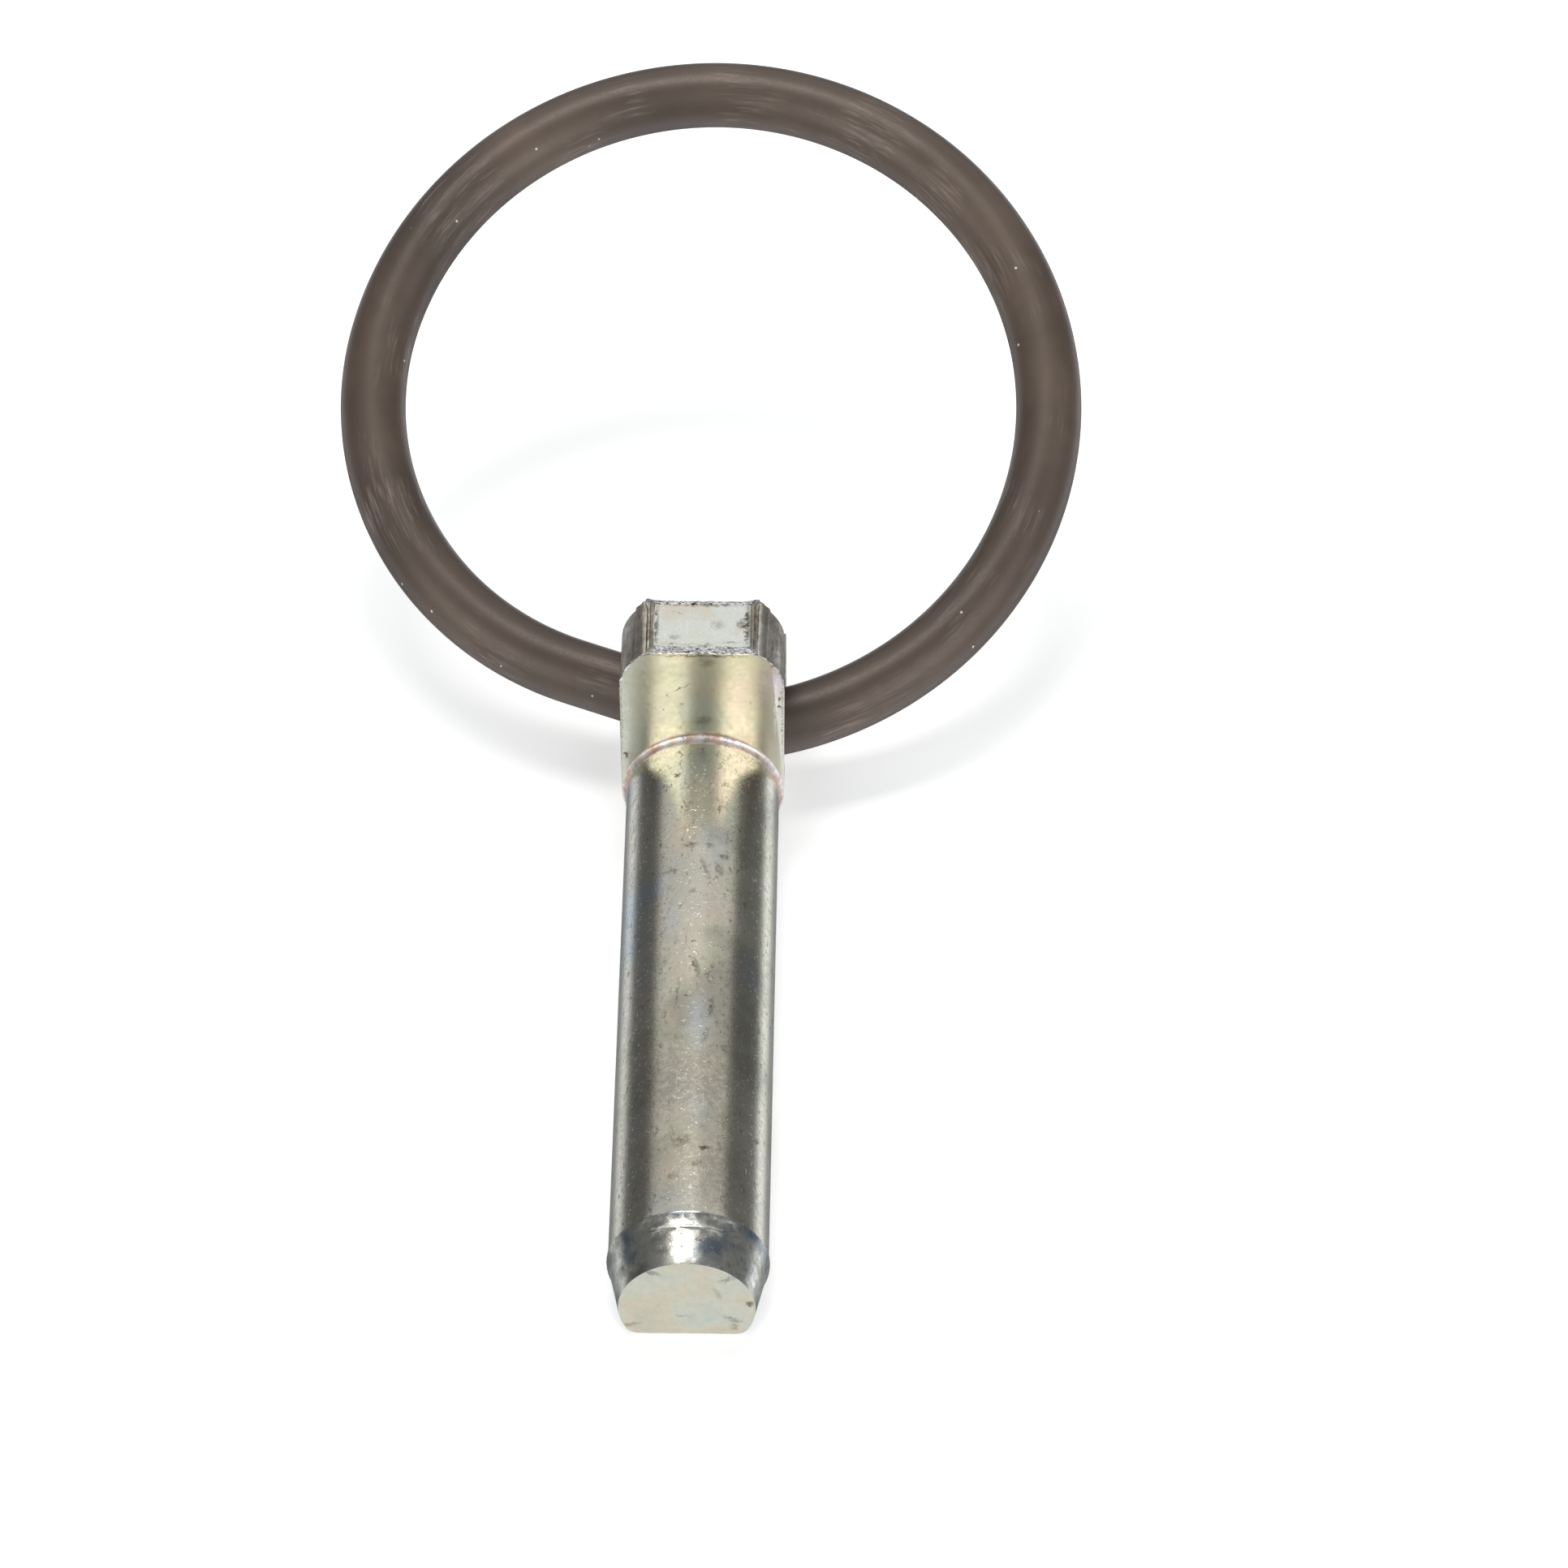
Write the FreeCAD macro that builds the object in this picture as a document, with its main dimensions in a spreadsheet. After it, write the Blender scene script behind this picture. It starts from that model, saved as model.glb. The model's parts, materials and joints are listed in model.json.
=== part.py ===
"""Hitch lock pin with a rubber retaining ring.

Frame: the origin is on the shank's axis at the head's front shoulder, the nose
points along -Y, the head stands behind the shoulder along +Y, and +Z is up.
Lengths are in millimetres and angles in degrees.
"""
import FreeCAD, Part
import math
import os

import Sketcher
from FreeCAD import Placement, Rotation, Vector

DIMENSIONS = {
    # shank and nose
    "shank_radius": 6.35,       # half inch round stock
    "flat_drop": 3.1,           # from the axis down to the flat
    "shank_length": 51.5,       # shoulder to the start of the nose
    "nose_length": 4.5,
    "nose_radius": 5.4,         # radius of the nose's end face
    "lower_corner": 1.2,        # rounding along both edges of the flat
    "fillet_length": 0.7,       # concave run-out of the shank at the shoulder
    "fillet_rise": 0.38,
    # head
    "head_half_width": 6.75,
    "lug_height": 16.6,         # from the axis to the top of the lug
    "lug_thickness": 5.8,
    "lug_corner_radius": 5.0,
    "lug_corner_level": 12.1,   # where the sides turn in to the top
    "lug_edge": 0.4,
    # eye for the ring, behind the lug's foot
    "hole_offset": 6.27,        # behind the shoulder
    "hole_height": 3.7,         # above the axis
    "hole_radius": 4.6,
    "hole_flare": 0.4,
    "eye_radius": 6.1,
    "eye_blend": 2.0,
    "tail_round": 2.5,          # lower rear corner, seen from the side
    # ring, in its own plane: its origin is where the hinge axis crosses the plane
    "cord_radius": 2.76,
    "ring_radius": 28.68,
    "ring_reach": 26.55,        # hinge axis to the centre of the main arc
    "slack_radius": 25.66,      # the ring's left side has set to a tighter arc
    "slack_start": 165.0,       # where that arc begins, from the ring's +X
    "bend_radius": 8.0,         # short bend inside the eye
    "bend_start": -78.0,
    "ring_tilt": 25.7,          # the ring's plane above the flat
    "ring_lean": 1.64,          # its right side above its left
}
MARGIN = 1.0                    # how far cutting sketches reach past the metal

doc = FreeCAD.newDocument("lock_pin")
sheet = doc.addObject("Spreadsheet::Sheet", "Sheet")
for row, (alias, value) in enumerate(DIMENSIONS.items(), start=1):
    sheet.set("A%d" % row, alias)
    sheet.set("B%d" % row, "%s" % value)
    sheet.setAlias("B%d" % row, alias)
doc.recompute()


def size(formula):
    """Value of a formula of the sheet's dimensions."""
    return float(sheet.evalExpression(formula))


def polar(centre, radius, degrees):
    """Point at an angle on a circle in a sketch."""
    turn = math.radians(degrees)
    return centre + Vector(radius * math.cos(turn), radius * math.sin(turn), 0)


def heading(start, end):
    """Direction in degrees from one point to another."""
    return math.degrees(math.atan2(end.y - start.y, end.x - start.x))


def arc(centre, radius, start, end):
    """Arc that runs anticlockwise from one angle to another."""
    circle = Part.Circle(centre, Vector(0, 0, 1), radius)
    return Part.ArcOfCircle(circle, math.radians(start), math.radians(end))


def origin_plane(body, role):
    return next(plane for plane in body.Origin.OriginFeatures if plane.Role == role)


def new_sketch(body, role, name):
    """Empty sketch on one of the body's own origin planes."""
    sketch = body.newObject("Sketcher::SketchObject", name)
    sketch.AttachmentSupport = (origin_plane(body, role), [""])
    sketch.MapMode = "FlatFace"
    return sketch


def relate(sketch, kind, *target):
    """Add a constraint that has no size."""
    sketch.addConstraint(Sketcher.Constraint(kind, *target))


def bind(sketch, kind, *target, to):
    """Add a dimension that follows a formula of the sheet."""
    index = sketch.addConstraint(Sketcher.Constraint(kind, *target, size(to)))
    sketch.setExpression("Constraints[%d]" % index, to)


def feature(body, kind, name, profile, **settings):
    """Add a PartDesign feature made from a sketch, and check that it solves."""
    made = body.newObject("PartDesign::" + kind, name)
    made.Profile = profile
    for key, value in settings.items():
        setattr(made, key, value)
    doc.recompute()
    if made.Shape.isNull() or made.State and "Invalid" in made.State:
        raise RuntimeError("%s failed" % name)
    return made


def cut_is_real(made, before):
    """A cut that points away from the solid shows no error, so compare volumes."""
    if made.Shape.Volume > before.Shape.Volume - 0.01:
        raise RuntimeError("%s cuts nothing" % made.Name)


def d_section(body, name, radius, ahead="0"):
    """Round section with a flat underneath and rounded lower corners.

    It lies ahead of the shoulder, towards the nose, by the formula in ahead.
    """
    sketch = new_sketch(body, "XZ_Plane", name)
    sketch.setExpression(".AttachmentOffset.Base.z", ahead)
    outer, flat, corner = size(radius), size("Sheet.flat_drop"), size("Sheet.lower_corner")
    level = corner - flat
    half = math.sqrt((outer - corner) ** 2 - level ** 2)
    turn = math.degrees(math.atan2(level, half))
    right, left = Vector(half, level, 0), Vector(-half, level, 0)
    sketch.addGeometry([
        Part.LineSegment(Vector(-half, -flat, 0), Vector(half, -flat, 0)),
        arc(right, corner, -90, turn),
        arc(Vector(), outer, turn, 180 - turn),
        arc(left, corner, 180 - turn, 270),
    ])
    for index in range(4):
        relate(sketch, "Tangent", index, 2, (index + 1) % 4, 1)
    relate(sketch, "Horizontal", 0)
    relate(sketch, "Coincident", 2, 3, -1, 1)
    relate(sketch, "Equal", 1, 3)
    bind(sketch, "Radius", 2, to=radius)
    bind(sketch, "Radius", 1, to="Sheet.lower_corner")
    bind(sketch, "DistanceY", 0, 1, -1, 1, to="Sheet.flat_drop")
    return sketch


def lug_outline(body):
    """Upright slab seen from the front: straight sides, rounded top corners."""
    sketch = new_sketch(body, "XZ_Plane", "LugOutline")
    half, top = size("Sheet.head_half_width"), size("Sheet.lug_height")
    radius, level = size("Sheet.lug_corner_radius"), size("Sheet.lug_corner_level")
    turn = math.degrees(math.asin((top - level) / radius))
    right, left = Vector(half - radius, level, 0), Vector(radius - half, level, 0)
    top_right, top_left = polar(right, radius, turn), polar(left, radius, 180 - turn)
    sketch.addGeometry([
        Part.LineSegment(Vector(-half, 0, 0), Vector(half, 0, 0)),
        Part.LineSegment(Vector(half, 0, 0), Vector(half, level, 0)),
        arc(right, radius, 0, turn),
        Part.LineSegment(top_right, top_left),
        arc(left, radius, 180 - turn, 180),
        Part.LineSegment(Vector(-half, level, 0), Vector(-half, 0, 0)),
    ])
    for first, second in ((0, 1), (2, 3), (3, 4), (5, 0)):
        relate(sketch, "Coincident", first, 2, second, 1)
    for first, second in ((1, 2), (4, 5)):
        relate(sketch, "Tangent", first, 2, second, 1)
    relate(sketch, "Vertical", 1)
    relate(sketch, "PointOnObject", 0, 1, -1)
    relate(sketch, "Symmetric", 0, 1, 0, 2, -2)
    relate(sketch, "Symmetric", 3, 1, 3, 2, -2)
    relate(sketch, "Equal", 2, 4)
    bind(sketch, "DistanceX", 0, 1, 0, 2, to="2 * Sheet.head_half_width")
    bind(sketch, "Radius", 2, to="Sheet.lug_corner_radius")
    bind(sketch, "DistanceY", 1, 1, 1, 2, to="Sheet.lug_corner_level")
    bind(sketch, "DistanceY", -1, 1, 3, 1, to="Sheet.lug_height")
    return sketch


def behind_lug(body):
    """Side view of what is milled away behind the lug, down to the eye's back."""
    sketch = new_sketch(body, "YZ_Plane", "BehindLug")
    back, top = size("Sheet.lug_thickness"), size("Sheet.lug_height") + MARGIN
    eye = Vector(size("Sheet.hole_offset"), size("Sheet.hole_height"), 0)
    radius, blend = size("Sheet.eye_radius"), size("Sheet.eye_blend")
    across = back + blend - eye.x
    centre = Vector(back + blend, eye.y + math.sqrt((radius + blend) ** 2 - across ** 2), 0)
    meet = heading(eye, centre)
    rear = eye.x + radius
    sketch.addGeometry([
        Part.LineSegment(Vector(back, top, 0), Vector(back, centre.y, 0)),
        arc(centre, blend, 180, 180 + meet),
        arc(eye, radius, 0, meet),
        Part.LineSegment(Vector(rear, eye.y, 0), Vector(rear + MARGIN, eye.y, 0)),
        Part.LineSegment(Vector(rear + MARGIN, eye.y, 0), Vector(rear + MARGIN, top, 0)),
        Part.LineSegment(Vector(rear + MARGIN, top, 0), Vector(back, top, 0)),
    ])
    relate(sketch, "Tangent", 0, 2, 1, 1)
    relate(sketch, "Tangent", 1, 2, 2, 2)
    relate(sketch, "Coincident", 2, 1, 3, 1)
    for first, second in ((3, 4), (4, 5), (5, 0)):
        relate(sketch, "Coincident", first, 2, second, 1)
    relate(sketch, "Vertical", 0)
    relate(sketch, "Horizontal", 3)
    relate(sketch, "Vertical", 4)
    relate(sketch, "Horizontal", 5)
    relate(sketch, "Horizontal", 2, 3, 2, 1)
    bind(sketch, "Radius", 1, to="Sheet.eye_blend")
    bind(sketch, "Radius", 2, to="Sheet.eye_radius")
    bind(sketch, "DistanceX", -1, 1, 2, 3, to="Sheet.hole_offset")
    bind(sketch, "DistanceY", -1, 1, 2, 3, to="Sheet.hole_height")
    bind(sketch, "DistanceX", -1, 1, 0, 2, to="Sheet.lug_thickness")
    bind(sketch, "DistanceX", 3, 1, 3, 2, to="%s" % MARGIN)
    bind(sketch, "DistanceY", -1, 1, 5, 1, to="Sheet.lug_height + %s" % MARGIN)
    return sketch


def tail_corner(body):
    """Side view of what is taken off the head's lower rear corner."""
    sketch = new_sketch(body, "YZ_Plane", "TailCorner")
    radius = size("Sheet.tail_round")
    rear, low = size("Sheet.hole_offset + Sheet.eye_radius"), -size("Sheet.flat_drop")
    centre = Vector(rear - radius, low + radius, 0)
    outside, below = rear + MARGIN, low - MARGIN
    sketch.addGeometry([
        arc(centre, radius, -90, 0),
        Part.LineSegment(Vector(rear, centre.y, 0), Vector(outside, centre.y, 0)),
        Part.LineSegment(Vector(outside, centre.y, 0), Vector(outside, below, 0)),
        Part.LineSegment(Vector(outside, below, 0), Vector(centre.x, below, 0)),
        Part.LineSegment(Vector(centre.x, below, 0), Vector(centre.x, low, 0)),
    ])
    relate(sketch, "Coincident", 0, 2, 1, 1)
    for first, second in ((1, 2), (2, 3), (3, 4)):
        relate(sketch, "Coincident", first, 2, second, 1)
    relate(sketch, "Coincident", 4, 2, 0, 1)
    relate(sketch, "Horizontal", 1)
    relate(sketch, "Vertical", 2)
    relate(sketch, "Horizontal", 3)
    relate(sketch, "Vertical", 4)
    relate(sketch, "Horizontal", 0, 3, 0, 2)
    relate(sketch, "Vertical", 0, 3, 0, 1)
    bind(sketch, "Radius", 0, to="Sheet.tail_round")
    bind(sketch, "DistanceX", -1, 1, 0, 2, to="Sheet.hole_offset + Sheet.eye_radius")
    bind(sketch, "DistanceY", 0, 1, -1, 1, to="Sheet.flat_drop")
    bind(sketch, "DistanceX", 1, 1, 1, 2, to="%s" % MARGIN)
    bind(sketch, "DistanceY", 4, 1, 4, 2, to="%s" % MARGIN)
    return sketch


def ring_hole(body):
    """Half outline of the cross hole with flared mouths, and the axis that it turns about."""
    sketch = new_sketch(body, "XZ_Plane", "RingHoleOutline")
    sketch.setExpression(".AttachmentOffset.Base.z", "-Sheet.hole_offset")
    mouth = size("Sheet.head_half_width - Sheet.hole_flare")
    reach = size("Sheet.head_half_width") + MARGIN
    axis, wall = size("Sheet.hole_height"), size("Sheet.hole_height + Sheet.hole_radius")
    flared = wall + reach - mouth
    outline = [(-reach, axis), (reach, axis), (reach, flared), (mouth, wall), (-mouth, wall),
               (-reach, flared)]
    corners = [Vector(across, level, 0) for across, level in outline]
    for index, corner in enumerate(corners):
        sketch.addGeometry(Part.LineSegment(corner, corners[(index + 1) % 6]))
    for index in range(6):
        relate(sketch, "Coincident", index, 2, (index + 1) % 6, 1)
    relate(sketch, "Vertical", 1)
    relate(sketch, "Vertical", 5)
    for index in (0, 3):
        relate(sketch, "Symmetric", index, 1, index, 2, -2)
    relate(sketch, "Equal", 1, 5)
    bind(sketch, "DistanceX", 0, 1, 0, 2, to="2 * (Sheet.head_half_width + %s)" % MARGIN)
    bind(sketch, "DistanceX", 3, 2, 3, 1, to="2 * (Sheet.head_half_width - Sheet.hole_flare)")
    bind(sketch, "DistanceY", -1, 1, 0, 1, to="Sheet.hole_height")
    bind(sketch, "DistanceY", 0, 1, 3, 2, to="Sheet.hole_radius")
    bind(sketch, "DistanceY", 3, 1, 1, 2, to="Sheet.hole_flare + %s" % MARGIN)
    return sketch


def fillet_section(body):
    """Small concave corner between the shank and the shoulder."""
    sketch = new_sketch(body, "YZ_Plane", "ShoulderFilletSection")
    base, length, rise = size("Sheet.shank_radius"), size("Sheet.fillet_length"), size("Sheet.fillet_rise")
    radius = (length ** 2 + rise ** 2) / (2 * rise)
    sweep = math.degrees(math.asin(length / radius))
    sketch.addGeometry([
        Part.LineSegment(Vector(0, base, 0), Vector(0, base + rise, 0)),
        arc(Vector(-length, base + radius, 0), radius, -90, sweep - 90),
        Part.LineSegment(Vector(-length, base, 0), Vector(0, base, 0)),
    ])
    relate(sketch, "Coincident", 0, 2, 1, 2)
    relate(sketch, "Tangent", 1, 1, 2, 1)
    relate(sketch, "Coincident", 2, 2, 0, 1)
    relate(sketch, "PointOnObject", 0, 1, -2)
    relate(sketch, "Vertical", 0)
    relate(sketch, "Horizontal", 2)
    bind(sketch, "DistanceX", 2, 1, 2, 2, to="Sheet.fillet_length")
    bind(sketch, "DistanceY", 0, 1, 0, 2, to="Sheet.fillet_rise")
    bind(sketch, "DistanceY", -1, 1, 0, 1, to="Sheet.shank_radius")
    return sketch


def edges_where(shape, wanted):
    """Names of the edges whose middle point and bounding box pass a test."""
    names = []
    for index, edge in enumerate(shape.Edges, start=1):
        middle = edge.valueAt((edge.FirstParameter + edge.LastParameter) / 2)
        if wanted(edge, middle):
            names.append("Edge%d" % index)
    return names


def round_edges(body, name, base, wanted, radius):
    """Fillet on the edges of the last feature that pass a test."""
    fillet = body.newObject("PartDesign::Fillet", name)
    fillet.Base = (base, edges_where(base.Shape, wanted))
    fillet.setExpression("Radius", radius)
    doc.recompute()
    cut_is_real(fillet, base)
    return fillet


def pad(body, name, sketch, length, backwards=False):
    made = feature(body, "Pad", name, sketch, Reversed=backwards)
    made.setExpression("Length", length)
    doc.recompute()
    return made


def make_lock_pin():
    """Shank, nose and head in one piece of steel."""
    body = doc.addObject("PartDesign::Body", "LockPin")
    body.Label = "lock_pin"
    pad(body, "Shank", d_section(body, "ShankSection", "Sheet.shank_radius"), "Sheet.shank_length")
    cone_start = d_section(body, "ConeStart", "Sheet.shank_radius", "Sheet.shank_length")
    nose_end = d_section(body, "NoseEnd", "Sheet.nose_radius", "Sheet.shank_length + Sheet.nose_length")
    feature(body, "AdditiveLoft", "Nose", cone_start, Sections=[nose_end], Ruled=True)

    tail = "Sheet.hole_offset + Sheet.eye_radius"
    pad(body, "HeadBase", d_section(body, "HeadSection", "Sheet.head_half_width"), tail, True)
    head = pad(body, "Lug", lug_outline(body), tail, True)
    milled = feature(body, "Pocket", "BehindLugCut", behind_lug(body), Type="ThroughAll",
                     Midplane=True)
    cut_is_real(milled, head)

    top = size("Sheet.lug_height")

    def on_lug_top(edge, middle):
        return abs(middle.z - top) < 0.01 and abs(middle.x) < 0.01

    lug = round_edges(body, "LugEdges", milled, on_lug_top, "Sheet.lug_edge")
    tail_rounded = feature(body, "Pocket", "TailCut", tail_corner(body), Type="ThroughAll",
                           Midplane=True)
    cut_is_real(tail_rounded, lug)
    hole_sketch = ring_hole(body)
    drilled = feature(body, "Groove", "RingHole", hole_sketch, ReferenceAxis=(hole_sketch, ["Edge1"]),
                      Angle=360.0)
    cut_is_real(drilled, tail_rounded)

    corner_level = size("Sheet.lower_corner - Sheet.flat_drop")
    swing = math.degrees(math.asin(-corner_level / size("Sheet.shank_radius - Sheet.lower_corner")))
    shoulder_sketch = fillet_section(body)
    shoulder = feature(body, "Revolution", "ShoulderFillet", shoulder_sketch,
                       ReferenceAxis=(shoulder_sketch, ["H_Axis"]), Midplane=True,
                       Angle=180.0 + 2 * swing)
    if shoulder.Shape.Volume <= drilled.Shape.Volume:
        raise RuntimeError("the shoulder has no fillet")
    return body


def ring_route():
    """Centre line of the ring in its own plane, as five tangent pieces.

    The main arc runs over the far side to the left, a tighter arc follows, a
    straight stretch slants through the eye, and a short bend joins it to the
    main arc again.
    """
    main = Vector(0, size("Sheet.ring_reach"), 0)
    radius, slack_radius = size("Sheet.ring_radius"), size("Sheet.slack_radius")
    bend_radius, bend_start = size("Sheet.bend_radius"), size("Sheet.bend_start")
    slack_start = size("Sheet.slack_start")
    slack = polar(main, radius - slack_radius, slack_start)
    bend = polar(main, radius - bend_radius, bend_start)
    spread = math.degrees(math.acos((slack_radius - bend_radius) / (bend - slack).Length))
    slant = heading(slack, bend) - spread
    far = 90.0
    return [
        arc(main, radius, far, slack_start),
        arc(slack, slack_radius, slack_start, slant + 360),
        Part.LineSegment(polar(slack, slack_radius, slant), polar(bend, bend_radius, slant)),
        arc(bend, bend_radius, slant, bend_start),
        arc(main, radius, bend_start, far),
    ]


def ring_path(body):
    sketch = new_sketch(body, "XY_Plane", "RingPath")
    sketch.addGeometry(ring_route())
    for index in range(5):
        relate(sketch, "Tangent", index, 2, (index + 1) % 5, 1)
    relate(sketch, "Coincident", 0, 3, 4, 3)
    relate(sketch, "PointOnObject", 0, 3, -2)
    relate(sketch, "PointOnObject", 0, 1, -2)
    bind(sketch, "DistanceY", -1, 1, 0, 3, to="Sheet.ring_reach")
    bind(sketch, "Radius", 0, to="Sheet.ring_radius")
    bind(sketch, "Radius", 1, to="Sheet.slack_radius")
    bind(sketch, "Radius", 3, to="Sheet.bend_radius")
    bind(sketch, "DistanceX", 0, 2, 0, 3, to="-Sheet.ring_radius * cos(Sheet.slack_start * 1deg)")
    bind(sketch, "DistanceX", 0, 3, 3, 2, to="Sheet.ring_radius * cos(Sheet.bend_start * 1deg)")
    return sketch


def ring_section(body):
    """Round section of the rubber cord at the ring's far side."""
    sketch = new_sketch(body, "YZ_Plane", "RingSection")
    far = Vector(size("Sheet.ring_reach + Sheet.ring_radius"), 0, 0)
    sketch.addGeometry(Part.Circle(far, Vector(0, 0, 1), size("Sheet.cord_radius")))
    relate(sketch, "PointOnObject", 0, 3, -1)
    bind(sketch, "Radius", 0, to="Sheet.cord_radius")
    bind(sketch, "DistanceX", -1, 1, 0, 3, to="Sheet.ring_reach + Sheet.ring_radius")
    return sketch


def make_ring():
    """Moulded rubber ring that hangs in the eye."""
    body = doc.addObject("PartDesign::Body", "RetainingRing")
    body.Label = "retaining_ring"
    path = ring_path(body)
    pipe = feature(body, "AdditivePipe", "RingCord", ring_section(body), Spine=(path, []))
    length = sum(piece.length() for piece in path.Geometry)
    expected = math.pi * size("Sheet.cord_radius") ** 2 * length
    if abs(pipe.Shape.Volume / expected - 1) > 0.01:
        raise RuntimeError("the ring's volume is not its section times its length")
    tilt = Rotation(Vector(1, 0, 0), size("Sheet.ring_tilt"))
    lean = Rotation(Vector(0, 1, 0), -size("Sheet.ring_lean"))
    hinge = Vector(0, size("Sheet.hole_offset"), size("Sheet.hole_height"))
    body.Placement = Placement(hinge, tilt.multiply(lean))
    return body


def check_and_write(bodies):
    doc.recompute()
    for item in doc.Objects:
        if {"Invalid", "Error"} & set(item.State):
            raise RuntimeError("%s is %s" % (item.Name, item.State))
    os.makedirs("parts", exist_ok=True)
    for body in bodies:
        if body.Shape.isNull() or not body.Shape.isValid() or len(body.Shape.Solids) != 1:
            raise RuntimeError("%s is not one valid solid" % body.Label)
        body.Shape.exportStep("parts/%s.step" % body.Label)
        print(body.Label, "volume %.0f mm3" % body.Shape.Volume, body.Shape.BoundBox)


check_and_write([make_lock_pin(), make_ring()])
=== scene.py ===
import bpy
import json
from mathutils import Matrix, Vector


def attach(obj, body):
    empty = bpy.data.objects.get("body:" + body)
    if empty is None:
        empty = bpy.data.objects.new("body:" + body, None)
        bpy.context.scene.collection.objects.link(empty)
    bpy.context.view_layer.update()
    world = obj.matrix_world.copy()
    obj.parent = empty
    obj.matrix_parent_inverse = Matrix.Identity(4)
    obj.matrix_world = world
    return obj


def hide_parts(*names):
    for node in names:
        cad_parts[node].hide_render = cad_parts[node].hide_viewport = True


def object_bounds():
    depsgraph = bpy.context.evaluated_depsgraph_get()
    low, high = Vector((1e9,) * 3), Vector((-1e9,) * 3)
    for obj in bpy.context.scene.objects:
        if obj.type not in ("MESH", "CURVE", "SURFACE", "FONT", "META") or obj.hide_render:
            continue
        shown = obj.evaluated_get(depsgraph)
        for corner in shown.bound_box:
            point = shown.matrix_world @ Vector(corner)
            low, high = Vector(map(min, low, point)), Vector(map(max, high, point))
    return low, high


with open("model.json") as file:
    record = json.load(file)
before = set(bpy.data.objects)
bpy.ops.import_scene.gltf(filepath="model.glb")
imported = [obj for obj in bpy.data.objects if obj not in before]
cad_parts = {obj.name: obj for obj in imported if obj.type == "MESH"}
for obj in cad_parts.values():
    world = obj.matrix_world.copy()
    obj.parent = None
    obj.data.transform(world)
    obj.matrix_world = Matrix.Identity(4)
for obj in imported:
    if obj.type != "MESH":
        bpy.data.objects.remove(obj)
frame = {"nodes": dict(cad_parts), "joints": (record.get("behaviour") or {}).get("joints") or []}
cadBounds = [list(corner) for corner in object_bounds()]

import json
import math

import bpy
from mathutils import Vector

mm = 0.001


def hexColour(text):               # sRGB hex to linear, opaque
    parts = [int(text[i:i + 2], 16) / 255 for i in (1, 3, 5)]
    return [c / 12.92 if c <= 0.04045 else ((c + 0.055) / 1.055) ** 2.4 for c in parts] + [1.0]


def deselectAll():
    if bpy.context.object and bpy.context.object.mode != "OBJECT":
        bpy.ops.object.mode_set(mode="OBJECT")
    bpy.ops.object.select_all(action="DESELECT")


def makeActive(piece):
    deselectAll()
    piece.select_set(True)
    bpy.context.view_layer.objects.active = piece


def pickVertices(piece, wanted):    # edit mode; the test gets each vertex's place in millimetres
    bpy.ops.mesh.select_mode(type="VERT")
    bpy.ops.mesh.select_all(action="DESELECT")
    bpy.ops.object.mode_set(mode="OBJECT")
    for vertex in piece.data.vertices:
        vertex.select = wanted(vertex.co / mm)
    bpy.ops.object.mode_set(mode="EDIT")


def addNode(tree, kind, inputs=None, stops=(), **settings):    # a node with its settings, values and links
    node = tree.nodes.new(kind)
    for key, value in settings.items():
        setattr(node, key, value)
    for name, value in (inputs or {}).items():
        if isinstance(value, bpy.types.NodeSocket):
            tree.links.new(value, node.inputs[name])
        else:
            node.inputs[name].default_value = value
    for index, (position, colour) in enumerate(stops):    # of a colour ramp
        stop = node.color_ramp.elements[index] if index < 2 else node.color_ramp.elements.new(1.0)
        stop.position, stop.color = position, colour
    return node


cameraSetup = {
    "lens": 177.0,             # millimetres, like the sensor; the other lengths here are metres
    "sensor": 36.0,
    "azimuth": -0.887,         # degrees from looking straight along +Y
    "elevation": 46.38,
    "distance": 0.642,
    "aim": (0.00675, 0.0, 0.0009),    # just right of the shoulder
    "clip": (0.01, 20.0),
}


def makeCamera(setup):
    turn, rise = math.radians(setup["azimuth"]), math.radians(setup["elevation"])
    ahead = Vector((math.sin(turn) * math.cos(rise), math.cos(turn) * math.cos(rise), -math.sin(rise)))
    place = Vector(setup["aim"]) - ahead * setup["distance"]
    deselectAll()
    bpy.ops.object.camera_add(location=place, rotation=(math.pi / 2 - rise, 0, -turn))
    camera = bpy.context.object
    camera.data.lens = setup["lens"]
    camera.data.sensor_width = setup["sensor"]
    camera.data.clip_start, camera.data.clip_end = setup["clip"]
    bpy.context.scene.camera = camera


makeCamera(cameraSetup)
print("camera placed")

studio = {
    "floorSize": 6.0,
    "floorColour": "#F3F3F1",
    "floorRoughness": 0.9,
    "floorGlow": 0.40,         # a light table, so shadows stay pale
    # sky brightness by the sine of the height: a pale sweep under the part, dark at eye level
    "skyBehind": [(-1.0, 0.30), (-0.60, 0.32), (-0.49, 1.10), (-0.34, 1.30), (-0.24, 0.17), (1.0, 0.14)],
    "skyInFront": [(-1.0, 0.95), (-0.70, 1.00), (-0.36, 1.05), (-0.10, 0.30), (0.45, 0.22), (0.75, 0.75),
                   (1.0, 0.15)],
    "tintBehind": (0.96, 1.0, 1.05),
    "tintInFront": (0.95, 1.0, 1.08),
    "halvesMeet": 0.2,         # how far each half reaches past the middle
    "skyLeft": 0.84,           # the sky is a little brighter to the right
    "skyRight": 1.18,
    "sidesReach": 0.7,
}

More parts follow.
